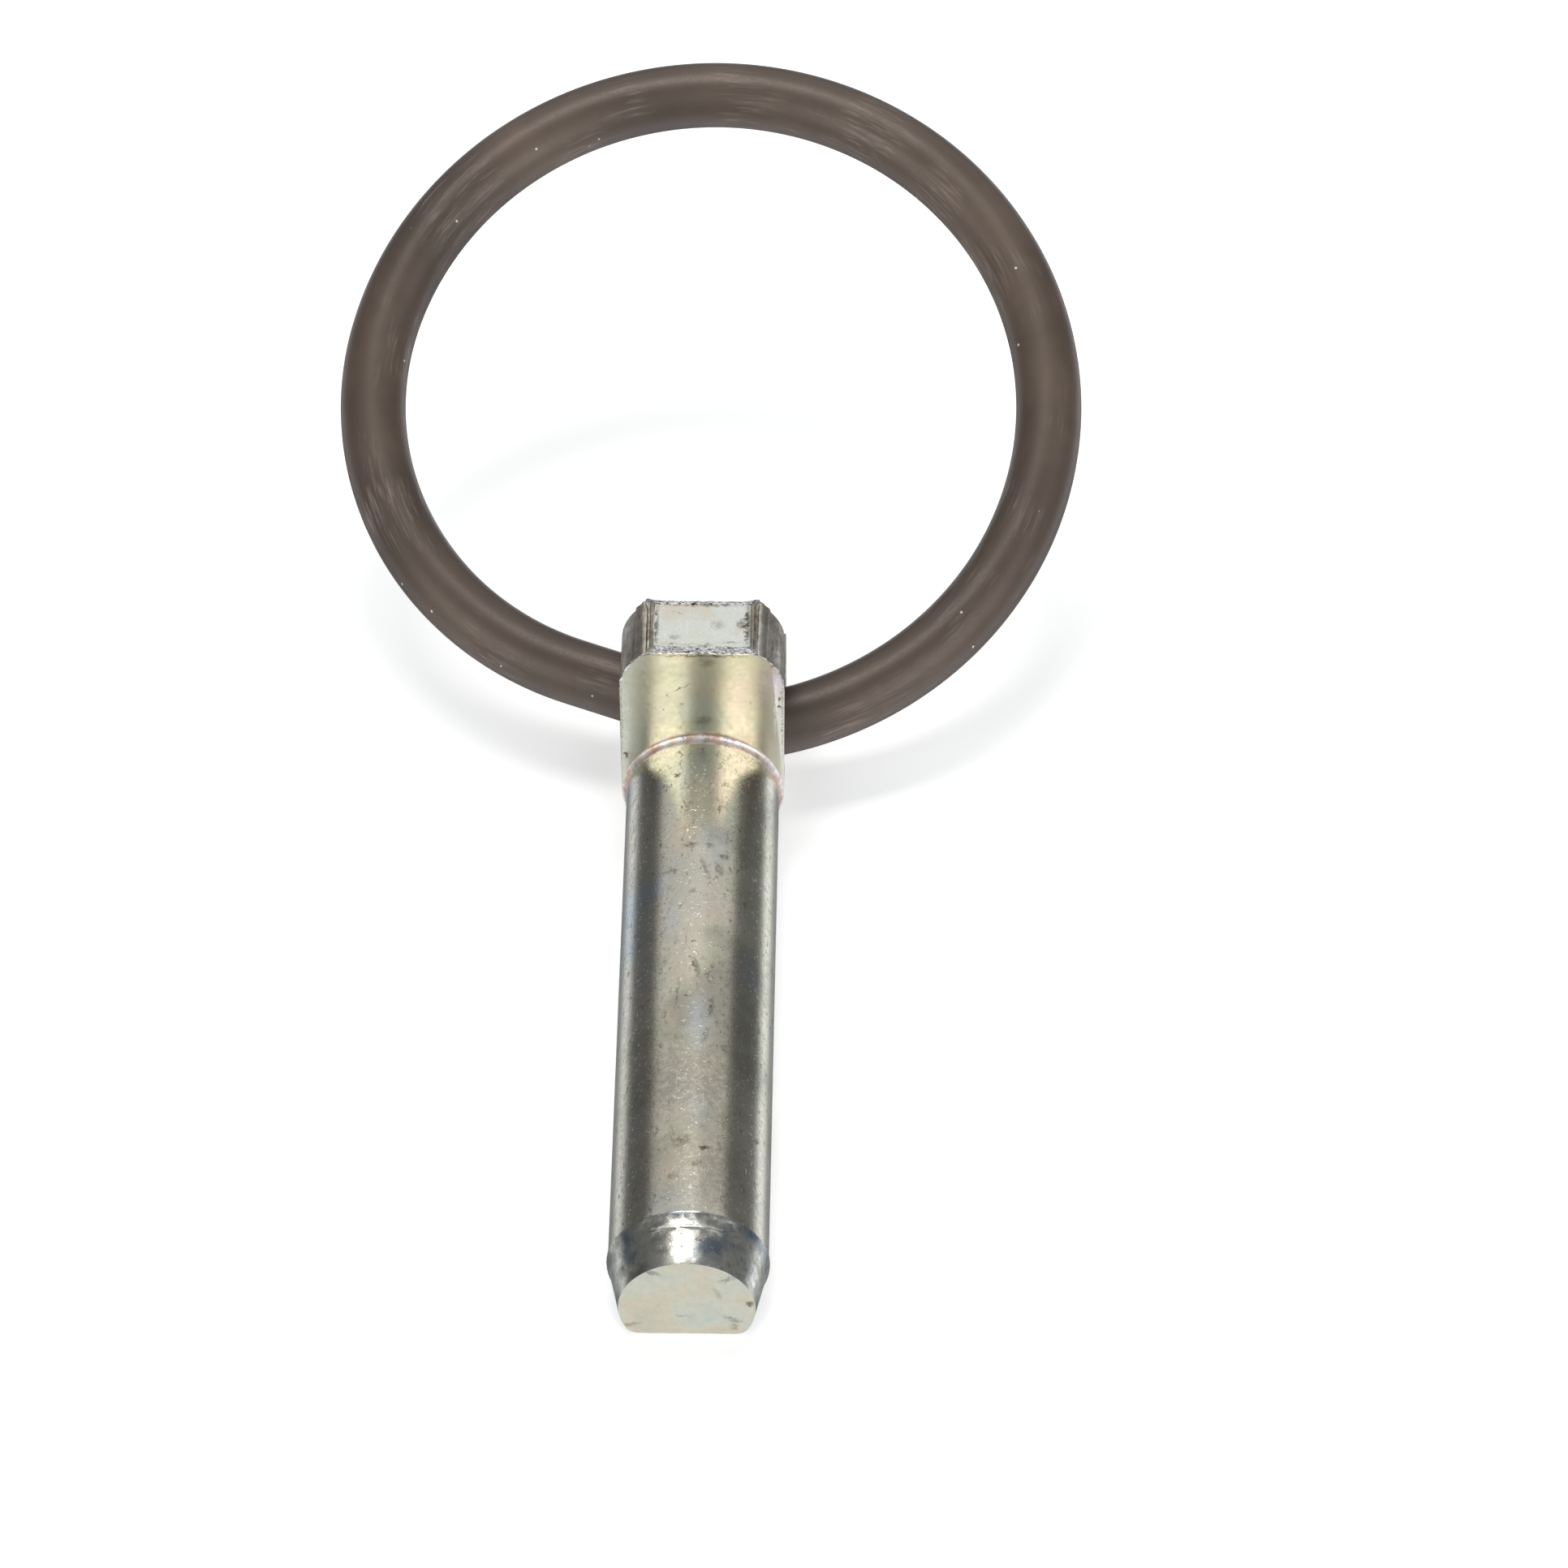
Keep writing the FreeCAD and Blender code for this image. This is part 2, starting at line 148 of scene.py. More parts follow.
softboxes = {                  # where each one stands, its size in metres and its radiance
    "backPanel": {"towards": (-0.03, 0.80, 0.60), "away": 0.7, "size": (1.14, 0.60), "radiance": 0.64},
    "overhead": {"towards": (-0.09, 0.30, 0.95), "away": 0.7, "size": (0.36, 0.17), "radiance": 9.0},
    "leftPanel": {"towards": (-0.60, -0.70, 0.38), "away": 0.8, "size": (0.50, 0.60), "radiance": 2.4},
    "rightPanel": {"towards": (0.60, -0.70, 0.38), "away": 0.8, "size": (0.50, 0.60), "radiance": 2.5},
}


def makeFloor(setup):
    deselectAll()
    bpy.ops.mesh.primitive_plane_add(size=setup["floorSize"], location=(0, 0, cadBounds[0][2]))
    floor = bpy.context.object
    floor.name = "floor"
    floor.visible_glossy = False    # the metal sees the studio's pale sweep instead
    material = bpy.data.materials.new("paleSatinBoard")
    material.use_nodes = True
    shader = material.node_tree.nodes["Principled BSDF"]
    shader.inputs["Base Color"].default_value = hexColour(setup["floorColour"])
    shader.inputs["Roughness"].default_value = setup["floorRoughness"]
    shader.inputs["Emission Color"].default_value = (1, 1, 1, 1)
    shader.inputs["Emission Strength"].default_value = setup["floorGlow"]
    floor.data.materials.append(material)


def makeSky(setup):
    world = bpy.data.worlds.new("studioSky")
    world.use_nodes = True
    bpy.context.scene.world = world
    tree = world.node_tree
    direction = addNode(tree, "ShaderNodeTexCoord").outputs["Generated"]
    split = addNode(tree, "ShaderNodeSeparateXYZ", {0: direction})
    height = addNode(tree, "ShaderNodeMapRange", {"Value": split.outputs["Z"], "From Min": -1.0})
    halves = []
    for half in ("Behind", "InFront"):
        tint = setup["tint" + half]
        stops = [(0.5 + sine / 2, [level * channel for channel in tint] + [1])
                 for sine, level in setup["sky" + half]]
        halves.append(addNode(tree, "ShaderNodeValToRGB", {0: height.outputs[0]}, stops).outputs["Color"])
    facing = addNode(tree, "ShaderNodeMapRange", {
        "Value": split.outputs["Y"], "From Min": setup["halvesMeet"], "From Max": -setup["halvesMeet"]})
    sky = addNode(tree, "ShaderNodeMix", {
        "Factor": facing.outputs[0], "A": halves[0], "B": halves[1]}, data_type="RGBA")
    side = addNode(tree, "ShaderNodeMapRange", {
        "Value": split.outputs["X"], "From Min": -setup["sidesReach"], "From Max": setup["sidesReach"],
        "To Min": setup["skyLeft"], "To Max": setup["skyRight"]})
    background = tree.nodes["Background"]
    tree.links.new(sky.outputs["Result"], background.inputs["Color"])
    tree.links.new(side.outputs[0], background.inputs["Strength"])


def makeSoftbox(name, setup):
    towards = Vector(setup["towards"]).normalized()
    deselectAll()
    bpy.ops.object.light_add(type="AREA", location=towards * setup["away"],
                             rotation=towards.to_track_quat("Z", "Y").to_euler())
    light = bpy.context.object
    light.name = name
    light.data.shape = "RECTANGLE"
    light.data.size, light.data.size_y = setup["size"]
    light.data.energy = setup["radiance"] * math.pi * setup["size"][0] * setup["size"][1]


makeFloor(studio)
makeSky(studio)
for boxName, boxSetup in softboxes.items():
    makeSoftbox(boxName, boxSetup)
bpy.context.scene.view_settings.view_transform = "Standard"
print("studio ready")

pinSizes = {                   # millimetres and degrees, in the pin's frame
    "noseStart": -51.5,
    "noseEnd": -56.0,
    "filletLength": 0.7,
    "filletFoot": -2.0,        # the fillet stops above this height
    "lugTop": 16.6,
    "lugCorners": 12.0,        # the lug's rounded corners start above this height
    "lipDepth": 0.45,          # just past the foot of the CAD model's rounding along the lug's top
    "topWidth": 5.0,           # the pressed flat is wider than this
    "near": 0.05,              # closer than this is the same place
    "touch": 0.01,
    "fold": 24.0,              # a sharper fold between two faces is an edge
    "noseFold": 3.0,
    "merge": 0.002,
    "flatWithin": 0.5,         # faces that differ by less become one
    "edge": 0.16,              # rounding of the sharp edges
    "edgeSteps": 3,
    "frontEdge": 0.30,         # the worn edge along the lug's front
    "frontSteps": 4,
    "noseEdge": 0.12,
    "noseSteps": 2,
    "lipCuts": 24,             # along the lug's top edges, so that they can be ragged
    "lipTear": 0.14,
    "rimSpread": 1.016,        # metal pushed out where the nose starts
    "rimFrom": -50.7,
    "rimWidth": 0.2,
    "rimFoot": -2.9,           # the flat keeps its level
    "ridgeAt": -52.75,         # a line of metal rolled up round the nose
    "ridgeStep": 0.11,
    "ridgeHalf": 2.9,
    "ridgeLift": 1.011,
    "ears": [(4.9, 5.7, 0.22), (4.3, 5.8, 0.12)],    # across, behind the shoulder, lift
    "earLevel": 16.0,
    "earReach": 0.8,
    "earFrom": 5.3,            # only the metal behind this is pushed up
    "earSpread": 0.4,          # sideways, as a part of the lift
}

# Zinc plated steel with a yellow passivate. Each machined or sheared area has its own finish.
# Lengths in millimetres. A mark is its place, its half sizes along x, y, z, its turn and its strength.
pinFinish = {
    "shank": {                 # drawn bar, tumbled: dull, mottled, scuffed, finely pitted
        "clouds": [(0.30, "#BBC3C6"), (0.42, "#C9C6B8"), (0.50, "#D3CCBD"), (0.57, "#C6C4B0"),
                   (0.66, "#ADA99B")],
        "cloudSize": 9.0, "drift": 0.0, "mottle": 0.16, "mottleSize": 0.40,
        "stain": "#655848", "stainSize": (0.50, 0.9, 0.50), "stainFrom": 0.560, "stainAmount": 0.75,
        "rough": 0.22, "metallic": 1.0, "grain": 0.17, "grainDepth": 0.014, "scratch": 0.25,
        "darkMarks": [
            ((-1.89, -4.05, 6.1), (0.25, 0.25, 9), 0, 0.85), ((-2.2, -3.85, 6), (0.34, 0.10, 9), -35, 0.68),
            ((1.66, -7.9, 6.1), (0.10, 1.05, 9), -8, 0.68), ((-0.69, -12.1, 6.3), (0.75, 0.40, 9), 0, 0.68),
            ((0.9, -12.1, 6.3), (0.45, 0.35, 9), 0, 0.59), ((2.12, -13.1, 6), (0.50, 0.40, 9), 20, 0.59),
            ((0.55, -14.7, 6.3), (0.30, 1.6, 9), 17, 0.51), ((-2.28, -14.7, 5.9), (0.60, 0.35, 9), 0, 0.59),
            ((1.68, -14.6, 6.1), (0.40, 0.9, 9), 20, 0.51), ((-0.37, -17.2, 6.3), (0.50, 0.35, 9), 15, 0.51),
            ((-0.1, -22.8, 6.4), (0.17, 0.17, 9), 0, 0.77), ((0.1, -25.6, 6.3), (0.32, 1.6, 9), 12, 0.68),
            ((-0.65, -28.7, 6.3), (0.35, 0.12, 9), -5, 0.85), ((1.36, -29.8, 6.2), (0.30, 1.2, 9), -6, 0.68),
            ((-1.35, -28.4, 6.2), (0.14, 2.0, 9), -5, 0.51), ((-0.6, -44.1, 6.3), (1.0, 0.60, 9), 30, 0.55),
            ((1.18, -44.7, 6.2), (0.55, 0.28, 9), 12, 0.85), ((0.64, -46.4, 6.3), (0.55, 0.35, 9), 0, 0.42),
            ((-1.2, -47.6, 6.3), (0.55, 0.4, 9), 0, 0.42), ((1.0, -32.9, 6.2), (0.25, 0.9, 9), -12, 0.51),
        ],
        "paintedHighlightsAndScratches": [((0.19, -49.0, 6.3), (0.35, 0.07, 9), 0, 0.8)],
        "blueMarks": [
            ((1.3, -12.0, 6.2), (1.7, 3.2, 9), 0, 0.38), ((-2.1, -20.0, 6.0), (0.9, 2.6, 9), 0, 0.34),
            ((0.4, -31.5, 6.3), (1.2, 3.6, 9), 0, 0.42), ((4.3, -24.5, 4.7), (1.0, 2.8, 9), 0, 0.38),
            ((-4.2, -25.0, 4.7), (0.9, 2.4, 9), 0, 0.34), ((0.8, -41.0, 6.3), (1.2, 2.0, 9), 0, 0.21),
        ],
        "peachMarks": [
            ((-1.6, -10.8, 6.1), (1.2, 2.6, 9), 0, 0.38), ((-1.3, -25.6, 6.2), (1.0, 2.8, 9), 0, 0.38),
            ((1.0, -19.5, 6.2), (0.9, 2.2, 9), 0, 0.29), ((-1.8, -31.0, 6.1), (0.7, 2.0, 9), 0, 0.34),
            ((-1.5, -46.5, 6.1), (1.0, 2.4, 9), 0, 0.29), ((-3.5, -49.9, 5.3), (0.5, 0.6, 9), 0, 0.38),
        ],
        # large darker patches over the shank's top towards the nose: painted shade that tones down the
        # overhead reflection there
        "paintedShadePatches": [
            ((0.0, -37.5, 6.3), (5.5, 5.5, 9), 0, 0.90), ((0.0, -47.0, 6.3), (5.0, 6.0, 9), 0, 0.60),
            ((2.6, -46.0, 5.8), (2.0, 5.0, 9), 0, 0.60),
        ],
    },
    "face": {                  # milled shoulder: smooth, glossy, the passivate shows most here
        "clouds": [(0.20, "#CCCAB2"), (0.42, "#D9D8C4"), (0.55, "#DCD6C2"), (0.72, "#DDD0C4"),
                   (0.85, "#E3D6D6")],
        "cloudSize": 5.0, "drift": 0.022, "mottle": 0.08, "mottleSize": 0.5,
        "stain": "#77694F", "stainSize": (0.5, 0.5, 0.5), "stainFrom": 0.71, "stainAmount": 0.7,
        "rough": 0.16, "metallic": 1.0, "grain": 0.22, "grainDepth": 0.003, "scratch": 0.15,
        "darkMarks": [
            ((-1.6, 0, 12.3), (0.95, 9, 0.10), 38, 0.9), ((-1.61, 0, 10.35), (0.16, 9, 0.20), 0, 0.95),
            ((-3.19, 0, 9.56), (0.13, 9, 0.13), 0, 0.9), ((3.94, 0, 10.6), (0.12, 9, 0.12), 0, 0.9),
            ((-2.87, 0, 11.3), (0.18, 9, 0.14), 0, 0.6), ((0.12, 0, 8.4), (0.85, 9, 0.60), 10, 0.55),
            ((0.37, 0, 15.3), (0.9, 9, 0.7), 0, 0.35), ((6.35, 0, 11.0), (0.24, 9, 0.40), 0, 0.95),
            ((6.42, 0, 10.1), (0.18, 9, 0.18), 0, 0.95), ((-6.31, 0, 4.3), (0.26, 9, 0.46), 0, 0.95),
            ((5.7, 0, 14.8), (0.24, 9, 0.18), 30, 0.8), ((0, 0, 16.0), (4.6, 9, 0.16), 0, 0.75),
            ((-6.66, 0, 9.0), (0.07, 9, 5.5), 0, 0.6), ((6.66, 0, 9.0), (0.07, 9, 5.5), 0, 0.6),
        ],
        # a thin bright line near the face's right edge: a painted highlight
        "paintedHighlightsAndScratches": [((6.08, 0, 9.9), (0.16, 9, 3.7), -1, 1.0)],
    },
    "fillet": {                # run-out of the shank into the shoulder: burnished, pinkish
        "clouds": [(0.34, "#DDB79F"), (0.47, "#F0DCD0"), (0.56, "#F7F1EF"), (0.66, "#E2C9AE")],
        "cloudSize": 1.6, "drift": 0.0, "mottle": 0.25, "mottleSize": 0.4,
        "stain": "#6B5A47", "stainSize": (0.5, 0.5, 0.5), "stainFrom": 0.66, "stainAmount": 0.8,
        "rough": 0.36, "metallic": 0.80, "grain": 0.25, "grainDepth": 0.012, "scratch": 0.0,
        "darkMarks": [
            ((0.35, -0.3, 6.6), (0.30, 9, 0.22), 0, 0.9), ((-1.5, -0.2, 6.5), (0.8, 9, 0.10), 0, 0.6),
            ((2.2, -0.3, 6.2), (0.5, 9, 0.10), 20, 0.6), ((-5.6, -0.3, 3.2), (0.3, 9, 0.8), 0, 0.6),
        ],
        # a bright line along the fillet's top: a painted highlight
        "paintedHighlightsAndScratches": [((0.5, -0.1, 6.9), (1.6, 9, 0.12), 0, 0.8)],
    },
    "head": {                  # sheared and forged outside of the head: dull, streaked, stained
        "clouds": [(0.30, "#A9A398"), (0.45, "#BBB3A5"), (0.55, "#C9C3B8"), (0.70, "#DBD9D4")],
        "cloudSize": 3.0, "drift": 0.0, "mottle": 0.40, "mottleSize": 0.6,
        "stain": "#55483B", "stainSize": (0.45, 2.4, 0.8), "stainFrom": 0.565, "stainAmount": 0.75,
        "rough": 0.52, "metallic": 1.0, "grain": 0.26, "grainDepth": 0.03, "scratch": 0.5,
        "darkMarks": [
            ((-4.3, 2.9, 15.9), (0.35, 3.2, 0.9), 0, 0.7), ((4.4, 2.9, 15.9), (0.45, 3.2, 0.9), 0, 0.8),
        ],
        # bright streaks on the lug's sides below its upper corners: painted highlights
        "paintedHighlightsAndScratches": [
            ((6.2, 1.4, 14.2), (0.45, 1.6, 0.9), 0, 0.8), ((-6.3, 1.2, 13.9), (0.35, 1.5, 0.9), 0, 0.6),
        ],
    },
    "top": {                   # pressed flat on the lug: pale, nearly bare zinc
        "clouds": [(0.30, "#DCDED2"), (0.50, "#DEE1D9"), (0.66, "#DAD5C6")],
        "cloudSize": 3.2, "drift": 0.0, "mottle": 0.10, "mottleSize": 0.5,
        "stain": "#8F806A", "stainSize": (0.9, 0.5, 0.9), "stainFrom": 0.64, "stainAmount": 0.6,
        "rough": 0.27, "metallic": 1.0, "grain": 0.2, "grainDepth": 0.005, "scratch": 0.5,
        "darkMarks": [
            ((-3.75, 2.9, 16.6), (0.22, 2.9, 9), 0, 0.85), ((3.75, 2.9, 16.6), (0.34, 3.0, 9), 0, 0.95),
            ((3.3, 3.1, 16.6), (0.55, 0.6, 9), 0, 0.8), ((0, 5.2, 16.6), (3.6, 0.16, 9), 0, 0.75),
            ((0.3, 0.62, 16.6), (0.60, 0.24, 9), 0, 0.95), ((-1.9, 0.75, 16.6), (1.9, 0.10, 9), 1, 0.6),
            ((2.4, 0.95, 16.6), (1.3, 0.09, 9), 0, 0.55), ((-1.9, 4.3, 16.6), (0.75, 0.09, 9), -28, 0.5),
            ((1.3, 3.0, 16.6), (0.7, 0.6, 9), 0, 0.35), ((-2.2, 1.6, 16.6), (0.5, 0.3, 9), 0, 0.45),
        ],
        # a bright line along the flat's rear edge: a painted highlight
        "paintedHighlightsAndScratches": [((0, 5.6, 16.6), (4.2, 0.20, 9), 0, 0.9)],
    },
    "cone": {                  # turned nose: smoother and brighter, with bluish patches
        "clouds": [(0.34, "#98A2AC"), (0.46, "#C4C6C1"), (0.56, "#DCDACE"), (0.68, "#B1AFA4")],
        "cloudSize": 2.2, "drift": 0.0, "mottle": 0.34, "mottleSize": 0.45,
        "stain": "#55534F", "stainSize": (0.8, 0.8, 0.8), "stainFrom": 0.57, "stainAmount": 0.75,
        "rough": 0.29, "metallic": 1.0, "grain": 0.16, "grainDepth": 0.010, "scratch": 0.2,
        "darkMarks": [((0, -51.65, 6), (5.0, 0.10, 9), 0, 0.45)],
        # near-white lines along the rolled ridge are painted highlights; the last two are bright patches on
        # the cone's sides
        "paintedHighlightsAndScratches": [
            ((-2.1, -52.75, 6), (1.0, 0.15, 9), 17, 1.0), ((-0.6, -52.6, 6), (0.9, 0.12, 9), -3, 1.0),
            ((1.0, -52.75, 6), (0.9, 0.16, 9), -5, 1.0), ((2.3, -52.9, 6), (0.6, 0.13, 9), -28, 1.0),
            ((-2.8, -53.1, 6), (0.35, 0.10, 9), 52, 0.8), ((5.4, -54.6, 1), (0.8, 0.7, 9), 50, 0.7),
            ((-5.7, -54.2, 0), (0.35, 1.2, 9), 12, 0.5),
        ],
    },
    "noseEnd": {               # sawn end, tumbled smooth
        "clouds": [(0.30, "#CFD1C0"), (0.48, "#D8D3BD"), (0.58, "#DACDB4"), (0.74, "#D0CAB4")],
        "cloudSize": 3.4, "drift": 0.0, "mottle": 0.08, "mottleSize": 0.7,
        "stain": "#857A63", "stainSize": (0.6, 0.6, 0.6), "stainFrom": 0.66, "stainAmount": 0.6,
        "rough": 0.36, "metallic": 1.0, "grain": 0.25, "grainDepth": 0.008, "scratch": 0.0,
        "darkMarks": [
            ((5.0, -56, 0.6), (0.30, 9, 0.38), 0, 0.9), ((3.6, -56, -1.3), (1.0, 9, 0.32), -22, 0.5),
            ((3.7, -56, -2.2), (0.40, 9, 0.6), 20, 0.5), ((-4.3, -56, -2.0), (0.95, 9, 0.28), 20, 0.4),
            ((3.3, -56, 3.6), (0.9, 9, 0.36), 35, 0.55), ((-2.6, -56, 4.2), (0.8, 9, 0.30), -28, 0.55),
            ((2.4, -56, 1.9), (0.28, 9, 0.9), 25, 0.3), ((-0.3, -56, -0.9), (0.7, 9, 0.12), 4, 0.35),
        ],
    },
    "edge": {                  # plating rubbed through along the edges
        "clouds": [(0.30, "#C6C1B6"), (0.50, "#DCD9D2"), (0.62, "#ECEAE5"), (0.76, "#B3A998")],
        "cloudSize": 0.9, "drift": 0.0, "mottle": 0.35, "mottleSize": 0.35,
        "stain": "#7A6A55", "stainSize": (0.7, 0.7, 0.7), "stainFrom": 0.60, "stainAmount": 0.8,
        "rough": 0.42, "metallic": 0.75, "grain": 0.35, "grainDepth": 0.12, "scratch": 0.2,
    },
    "torn": {                  # ragged lip that the shearing left along the lug; its near-white, barely metallic colour is a painted highlight
        "clouds": [(0.30, "#EFECE6"), (0.50, "#F9F8F6"), (0.66, "#FBFBFA"), (0.80, "#D0C3B0")],
        "cloudSize": 0.7, "drift": 0.0, "mottle": 0.06, "mottleSize": 0.3,
        "stain": "#6A5642", "stainSize": (0.45, 0.45, 0.45), "stainFrom": 0.59, "stainAmount": 0.9,
        "rough": 0.42, "metallic": 0.05, "grain": 0.50, "grainDepth": 0.30, "scratch": 0.0,
    },
}

platingPattern = {             # millimetres, the same on every area
    "raggedSize": 0.45,        # breaks in the outline of a mark
    "raggedShift": 1.1,        # how far they push it
    "hairWidth": 0.10,
    "hairLength": 3.5,
    "hairDepth": 0.8,
    "hairTurns": (24, -38),    # degrees
    "pitSpacing": 0.5,
}

markColours = {                # later ones lie over earlier ones
    # grey for the painted shade patches
    "paintedShadePatches": "#A29C8E",
    "blueMarks": "#B4C0CC",
    "peachMarks": "#D6C2AC",
    "darkMarks": "#463C2F",
    # near-white: painted highlights, and also the colour of the bright hair scratches
    "paintedHighlightsAndScratches": "#F6F3EA",
}


def addMarks(tree, finish, outline, broken, colour):    # lays each single mark over the colour below it
    for kind, markColour in markColours.items():
        for at, half, turn, strength in finish.get(kind, []):
            onFront = half[1] > half[2]    # a mark on a face that looks along Y
            spin = (0, -math.radians(turn), 0) if onFront else (0, 0, math.radians(turn))
            near = addNode(tree, "ShaderNodeMapping", {
                "Vector": outline.outputs[0], "Location": [a * mm for a in at], "Rotation": spin,
                "Scale": [h * mm for h in half]}, vector_type="TEXTURE")
            reach = addNode(tree, "ShaderNodeVectorMath", {0: near.outputs[0]}, operation="LENGTH")
            spot = addNode(tree, "ShaderNodeMapRange", {
                "Value": reach.outputs["Value"], "From Min": 0.3, "From Max": 1.2,
                "To Min": strength, "To Max": 0.0}, interpolation_type="SMOOTHSTEP")
            patch = addNode(tree, "ShaderNodeMath", {0: spot.outputs[0], 1: broken.outputs[0]},
                            operation="MULTIPLY")
            colour = addNode(tree, "ShaderNodeMix", {
                "Factor": patch.outputs[0], "A": colour, "B": hexColour(markColour)},
                data_type="RGBA").outputs["Result"]
    return colour


def platedSteel(name, finish, pattern):
    material = bpy.data.materials.new(name)
    material.use_nodes = True
    tree = material.node_tree
    shader = tree.nodes["Principled BSDF"]
    place = addNode(tree, "ShaderNodeTexCoord").outputs["Object"]

    # tarnish clouds in the passivate, drifting in hue across the piece where the finish says so
    cloud = addNode(tree, "ShaderNodeTexNoise", {
        "Vector": place, "Scale": 1 / (finish["cloudSize"] * mm), "Detail": 3.0, "Roughness": 0.5})
    across = addNode(tree, "ShaderNodeSeparateXYZ", {0: place})
    drifted = addNode(tree, "ShaderNodeMath", {
        0: across.outputs["X"], 1: finish["drift"] / mm, 2: cloud.outputs[0]}, operation="MULTIPLY_ADD")
    clouds = addNode(tree, "ShaderNodeValToRGB", {0: drifted.outputs[0]},
                     [(at, hexColour(colour)) for at, colour in finish["clouds"]])

    # fine mottling, darker only
    mottle = addNode(tree, "ShaderNodeTexNoise", {
        "Vector": place, "Scale": 1 / (finish["mottleSize"] * mm), "Detail": 5.0, "Roughness": 0.75})
    shade = addNode(tree, "ShaderNodeMapRange", {
        "Value": mottle.outputs[0], "From Min": 0.35, "From Max": 0.62,
        "To Min": 1 - finish["mottle"], "To Max": 1.0})
    mottled = addNode(tree, "ShaderNodeVectorMath", {
        0: clouds.outputs["Color"], "Scale": shade.outputs[0]}, operation="SCALE")

    # greasy stains, drawn out along the piece
    stretched = addNode(tree, "ShaderNodeMapping", {
        "Vector": place, "Scale": [1 / (size * mm) for size in finish["stainSize"]]})
    smudge = addNode(tree, "ShaderNodeTexNoise", {
        "Vector": stretched.outputs[0], "Scale": 1.0, "Detail": 8.0, "Roughness": 0.72})
    stain = addNode(tree, "ShaderNodeMapRange", {
        "Value": smudge.outputs[0], "From Min": finish["stainFrom"], "From Max": finish["stainFrom"] + 0.10,
        "To Max": finish["stainAmount"]})
    colour = addNode(tree, "ShaderNodeMix", {
        "Factor": stain.outputs[0], "A": mottled.outputs[0], "B": hexColour(finish["stain"])},
        data_type="RGBA").outputs["Result"]

    # single marks with ragged, broken outlines
    ragged = addNode(tree, "ShaderNodeTexNoise", {
        "Vector": place, "Scale": 1 / (pattern["raggedSize"] * mm), "Detail": 4.0, "Roughness": 0.7})
    jitter = addNode(tree, "ShaderNodeVectorMath", {
        0: ragged.outputs["Color"], 1: (0.5, 0.5, 0.5)}, operation="SUBTRACT")
    outline = addNode(tree, "ShaderNodeVectorMath", {
        0: jitter.outputs[0], 1: [pattern["raggedShift"] * mm] * 3, 2: place}, operation="MULTIPLY_ADD")
    broken = addNode(tree, "ShaderNodeMapRange", {
        "Value": ragged.outputs[0], "From Min": 0.38, "From Max": 0.56, "To Min": 0.25, "To Max": 1.0})
    colour = addMarks(tree, finish, outline, broken, colour)

    # hair scratches in two directions
    for turn in pattern["hairTurns"]:
        hairSize = [pattern[key] * mm for key in ("hairWidth", "hairLength", "hairDepth")]
        lines = addNode(tree, "ShaderNodeMapping", {
            "Vector": place, "Rotation": (0, 0, math.radians(turn)),
            "Scale": [1 / size for size in hairSize]})
        hair = addNode(tree, "ShaderNodeTexNoise", {"Vector": lines.outputs[0], "Scale": 1.0, "Detail": 1.0})
        scratch = addNode(tree, "ShaderNodeMapRange", {
            "Value": hair.outputs[0], "From Min": 0.70, "From Max": 0.78, "To Max": finish["scratch"]})
        colour = addNode(tree, "ShaderNodeMix", {
            "Factor": scratch.outputs[0], "A": colour, "B": hexColour(markColours["paintedHighlightsAndScratches"])},
            data_type="RGBA").outputs["Result"]
    tree.links.new(colour, shader.inputs["Base Color"])

    # tumbled grain and pits, drawn a little coarser than real so that they show
    grain = addNode(tree, "ShaderNodeTexNoise", {
        "Vector": place, "Scale": 1 / (finish["grain"] * mm), "Detail": 4.0, "Roughness": 0.6})
    pits = addNode(tree, "ShaderNodeTexVoronoi", {
        "Vector": outline.outputs[0], "Scale": 1 / (pattern["pitSpacing"] * mm)})
    pitted = addNode(tree, "ShaderNodeMapRange", {
        "Value": pits.outputs["Distance"], "From Min": 0.0, "From Max": 0.22, "To Min": -1.2, "To Max": 0.0})
    height = addNode(tree, "ShaderNodeMath", {0: grain.outputs[0], 1: pitted.outputs[0]}, operation="ADD")
    bump = addNode(tree, "ShaderNodeBump", {
        "Height": height.outputs[0], "Strength": 0.6, "Distance": finish["grainDepth"] * mm})
    tree.links.new(bump.outputs[0], shader.inputs["Normal"])

    # duller where it is stained or mottled dark
    roughness = addNode(tree, "ShaderNodeMapRange", {
        "Value": mottle.outputs[0], "From Min": 0.3, "From Max": 0.7,
        "To Min": finish["rough"] + 0.08, "To Max": finish["rough"] - 0.05})
    dulled = addNode(tree, "ShaderNodeMath", {0: stain.outputs[0], 1: 0.18, 2: roughness.outputs[0]},
                     operation="MULTIPLY_ADD")
    tree.links.new(dulled.outputs[0], shader.inputs["Roughness"])
    shader.inputs["Metallic"].default_value = finish["metallic"]
    return material


def selectEdges(piece, wanted):    # edit mode; the test gets both ends and the angle between the faces
    bpy.ops.object.mode_set(mode="OBJECT")
    mesh = piece.data
    normals = {}
    for face in mesh.polygons:
        for key in face.edge_keys:
            normals.setdefault(key, []).append(face.normal.copy())
    for item in list(mesh.vertices) + list(mesh.edges) + list(mesh.polygons):
        item.select = False
    for edge in mesh.edges:
        sides = normals.get(tuple(sorted(edge.vertices)), [])
        angle = math.degrees(sides[0].angle(sides[1])) if len(sides) == 2 else 0
        start, end = (mesh.vertices[i].co / mm for i in edge.vertices)
        if wanted(start, end, angle):
            edge.select = True
            for i in edge.vertices:
                mesh.vertices[i].select = True
    bpy.ops.object.mode_set(mode="EDIT")
    bpy.ops.mesh.select_mode(type="EDGE")


